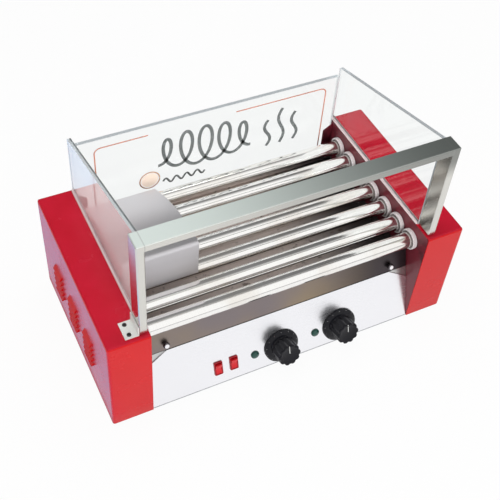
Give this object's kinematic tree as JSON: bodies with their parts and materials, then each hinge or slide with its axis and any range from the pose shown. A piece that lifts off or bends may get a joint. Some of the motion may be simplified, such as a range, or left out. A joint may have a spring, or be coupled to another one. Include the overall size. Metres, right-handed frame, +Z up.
{
  "type": "hot dog roller warmer",
  "caption": "Counter-top roller warmer with chain-driven heated rollers between two side housings, a drip tray, glass guards and a steel portal.",
  "frame": {"origin": "on the counter, under the middle of the machine", "axes": "+Z up, +X along the rollers to the operator's right, -Y towards the operator"},
  "size_m": [0.59, 0.3478, 0.371],
  "materials": {
    "red_paint": "glossy red powder coat",
    "dark_red_paint": "satin dark red powder coat",
    "roller_steel": "polished tube with fine turning lines",
    "white_nylon": "white moulded nylon",
    "pale_steel": "pale brushed sheet",
    "brushed_steel": "brushed sheet and tube",
    "tray_steel": "brushed sheet browned by heat",
    "bright_steel": "polished turned steel",
    "grey_sheet": "light grey satin sheet",
    "zinc": "zinc-plated steel",
    "cast_grey": "dull grey casting",
    "black_plastic": "black moulded plastic",
    "red_plastic": "red translucent plastic",
    "green_lens": "dark green lens",
    "clear_glass": "clear toughened glass",
    "black_rubber": "black rubber"
  },
  "bodies": {
    "housing": {"base_pan": "zinc", "control_panel": "pale_steel", "cord_gland": "black_plastic", "drive_chain": "zinc", "foot_bracket": "brushed_steel", "front_left_foot": "black_rubber", "front_rail": "brushed_steel", "front_right_foot": "black_rubber", "gear_motor": "cast_grey", "heating_elements": "zinc", "left_bushing_1": "white_nylon", "left_bushing_2": "white_nylon", "left_bushing_3": "white_nylon", "left_bushing_4": "white_nylon", "left_bushing_5": "white_nylon", "left_bushing_6": "white_nylon", "left_bushing_7": "white_nylon", "left_cover": "red_paint", "left_glass": "clear_glass", "left_pilot_lamp": "green_lens", "left_regulator": "cast_grey", "left_side_plate": "dark_red_paint", "left_switch_frame": "red_plastic", "motor_bracket": "zinc", "portal_frame": "brushed_steel", "rear_glass": "clear_glass", "rear_left_foot": "black_rubber", "rear_panel": "brushed_steel", "rear_right_foot": "black_rubber", "rest_cover": "grey_sheet", "right_bushing_1": "white_nylon", "right_bushing_2": "white_nylon", "right_bushing_3": "white_nylon", "right_bushing_4": "white_nylon", "right_bushing_5": "white_nylon", "right_bushing_6": "white_nylon", "right_bushing_7": "white_nylon", "right_cover": "red_paint", "right_element_holder": "zinc", "right_glass": "clear_glass", "right_pilot_lamp": "green_lens", "right_regulator": "cast_grey", "right_side_plate": "dark_red_paint", "right_switch_frame": "red_plastic", "terminal_block": "white_nylon"},
    "roller_body_1": {"roller_1": "roller_steel"},
    "roller_body_2": {"roller_2": "roller_steel"},
    "roller_body_3": {"roller_3": "roller_steel"},
    "roller_body_4": {"roller_4": "roller_steel"},
    "roller_body_5": {"roller_5": "roller_steel"},
    "roller_body_6": {"roller_6": "roller_steel"},
    "roller_body_7": {"roller_7": "roller_steel"},
    "drive_body": {"drive_shaft": "zinc"},
    "tray_body": {"drip_tray": "tray_steel", "left_tray_knob": "bright_steel", "right_tray_knob": "bright_steel"},
    "left_knob_body": {"left_knob": "black_plastic"},
    "left_rocker_body": {"left_rocker": "red_plastic"},
    "right_knob_body": {"right_knob": "black_plastic"},
    "right_rocker_body": {"right_rocker": "red_plastic"}
  },
  "joints": [
    {"name": "roller_1_spin", "type": "hinge", "parent": "housing", "child": "roller_body_1", "pos_m": [0, 0.11693, 0.159], "axis": [1, 0, 0], "continuous": true, "deforming": ["drive_chain"]},
    {"name": "roller_2_spin", "type": "hinge", "parent": "housing", "child": "roller_body_2", "pos_m": [0, 0.07883, 0.159], "axis": [1, 0, 0], "continuous": true},
    {"name": "roller_3_spin", "type": "hinge", "parent": "housing", "child": "roller_body_3", "pos_m": [0, 0.04073, 0.159], "axis": [1, 0, 0], "continuous": true},
    {"name": "roller_4_spin", "type": "hinge", "parent": "housing", "child": "roller_body_4", "pos_m": [0, 0.00263, 0.159], "axis": [1, 0, 0], "continuous": true},
    {"name": "roller_5_spin", "type": "hinge", "parent": "housing", "child": "roller_body_5", "pos_m": [0, -0.03547, 0.159], "axis": [1, 0, 0], "continuous": true},
    {"name": "roller_6_spin", "type": "hinge", "parent": "housing", "child": "roller_body_6", "pos_m": [0, -0.07357, 0.159], "axis": [1, 0, 0], "continuous": true},
    {"name": "roller_7_spin", "type": "hinge", "parent": "housing", "child": "roller_body_7", "pos_m": [0, -0.11167, 0.159], "axis": [1, 0, 0], "continuous": true},
    {"name": "drive_shaft_spin", "type": "hinge", "parent": "housing", "child": "drive_body", "pos_m": [0.2377, -0.05632, 0.039], "axis": [1, 0, 0], "continuous": true},
    {"name": "drip_tray_slide", "type": "slide", "parent": "housing", "child": "tray_body", "axis": [0, -1, 0], "range_m": [0, 0.2]},
    {"name": "left_knob_turn", "type": "hinge", "parent": "housing", "child": "left_knob_body", "pos_m": [-0.0068, -0.13925, 0.03654], "axis": [0, 0.9521, -0.3057], "range_deg": [0, 270]},
    {"name": "right_knob_turn", "type": "hinge", "parent": "housing", "child": "right_knob_body", "pos_m": [0.0975, -0.13925, 0.03654], "axis": [0, 0.9521, -0.3057], "range_deg": [0, 270]},
    {"name": "left_rocker_tilt", "type": "hinge", "parent": "housing", "child": "left_rocker_body", "pos_m": [-0.115, -0.1383, 0.03623], "axis": [-1, 0, 0], "range_deg": [0, 20]},
    {"name": "right_rocker_tilt", "type": "hinge", "parent": "housing", "child": "right_rocker_body", "pos_m": [-0.089, -0.1383, 0.03623], "axis": [-1, 0, 0], "range_deg": [0, 20]}
  ],
  "couplings": [
    {"joint": "roller_2_spin", "follows": "roller_1_spin", "ratio": 1},
    {"joint": "roller_3_spin", "follows": "roller_1_spin", "ratio": 1},
    {"joint": "roller_4_spin", "follows": "roller_1_spin", "ratio": 1},
    {"joint": "roller_5_spin", "follows": "roller_1_spin", "ratio": 1},
    {"joint": "roller_6_spin", "follows": "roller_1_spin", "ratio": 1},
    {"joint": "roller_7_spin", "follows": "roller_1_spin", "ratio": 1},
    {"joint": "drive_shaft_spin", "follows": "roller_1_spin", "ratio": 1}
  ]
}
